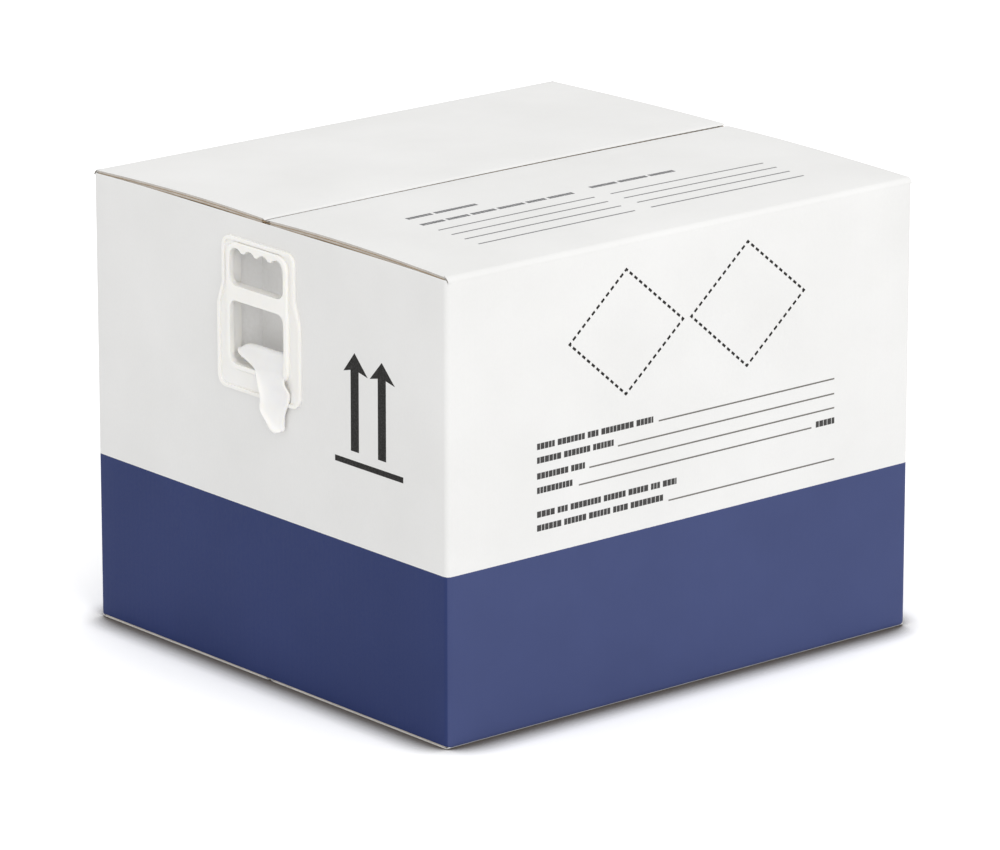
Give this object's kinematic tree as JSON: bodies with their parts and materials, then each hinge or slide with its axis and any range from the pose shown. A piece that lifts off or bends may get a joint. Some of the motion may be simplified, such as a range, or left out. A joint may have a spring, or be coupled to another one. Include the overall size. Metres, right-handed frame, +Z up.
{
  "type": "specimen transport box",
  "caption": "Insulated corrugated transport box with hinged top flaps, snap-in carry handles, foam liner and a leak-tight container of specimen tubes.",
  "frame": {"origin": "middle of the base, on the surface the box stands on", "axes": "+X along the long printed front, +Y from the front to the back, +Z up"},
  "size_m": [0.6244, 0.55, 0.466],
  "materials": {
    "white_board": "matte",
    "inner_board": "matte",
    "foam": "matte",
    "handle_plastic": "satin",
    "soft_tongue": "satin",
    "support_board": "matte",
    "container_plastic": "satin",
    "lid_plastic": "satin",
    "latch_plastic": "satin",
    "gasket_rubber": "matte",
    "absorbent": "matte",
    "rack_foam": "matte",
    "tube_plastic": "gloss",
    "cap_plastic": "satin"
  },
  "bodies": {
    "carton": {"wall_front": "white_board", "wall_back": "white_board", "wall_left": "white_board", "wall_right": "white_board", "glue_lap": "inner_board", "top_inner_flap_left": "white_board", "top_inner_flap_right": "white_board", "bottom_outer_flap_front": "white_board", "bottom_outer_flap_back": "white_board", "bottom_inner_flap_left": "white_board", "bottom_inner_flap_right": "white_board", "handle_frame_left": "handle_plastic", "handle_frame_right": "handle_plastic", "handle_back_plate_left": "handle_plastic", "handle_back_plate_right": "handle_plastic", "foam_base": "foam", "foam_lid": "foam", "support_front": "support_board", "support_back": "support_board", "support_left": "support_board", "support_right": "support_board", "container": "container_plastic", "container_lid": "lid_plastic", "container_gasket": "gasket_rubber", "absorbent_pad": "absorbent", "tube_rack": "rack_foam", "specimen_tubes": "tube_plastic", "tube_caps": "cap_plastic"},
    "flap_front": {"top_outer_flap_front": "white_board"},
    "flap_back": {"top_outer_flap_back": "white_board"},
    "tongue_left": {"handle_tongue_left": "soft_tongue"},
    "tongue_right": {"handle_tongue_right": "soft_tongue"},
    "latch_left": {"latch_left": "latch_plastic"},
    "latch_right": {"latch_right": "latch_plastic"},
    "latch_front": {"latch_front": "latch_plastic"},
    "latch_back": {"latch_back": "latch_plastic"}
  },
  "joints": [
    {"name": "flap_front_fold", "type": "hinge", "parent": "carton", "child": "flap_front", "pos_m": [0, -0.275, 0.466], "axis": [1, 0, 0], "range_deg": [0, 250]},
    {"name": "flap_back_fold", "type": "hinge", "parent": "carton", "child": "flap_back", "pos_m": [0, 0.275, 0.466], "axis": [-1, 0, 0], "range_deg": [0, 250]},
    {"name": "tongue_left_bend", "type": "hinge", "parent": "carton", "child": "tongue_left", "pos_m": [-0.30628, 0.007, 0.31678], "axis": [0, 1, 0], "range_deg": [0, 170]},
    {"name": "tongue_right_bend", "type": "hinge", "parent": "carton", "child": "tongue_right", "pos_m": [0.30628, -0.007, 0.31678], "axis": [0, -1, 0], "range_deg": [0, 170]},
    {"name": "latch_left_release", "type": "hinge", "parent": "carton", "child": "latch_left", "pos_m": [-0.078, 0, 0.2206], "axis": [0, 1, 0], "range_deg": [0, 105]},
    {"name": "latch_right_release", "type": "hinge", "parent": "carton", "child": "latch_right", "pos_m": [0.078, 0, 0.2206], "axis": [0, -1, 0], "range_deg": [0, 105]},
    {"name": "latch_front_release", "type": "hinge", "parent": "carton", "child": "latch_front", "pos_m": [0, -0.078, 0.2206], "axis": [-1, 0, 0], "range_deg": [0, 105]},
    {"name": "latch_back_release", "type": "hinge", "parent": "carton", "child": "latch_back", "pos_m": [0, 0.078, 0.2206], "axis": [1, 0, 0], "range_deg": [0, 105]}
  ]
}
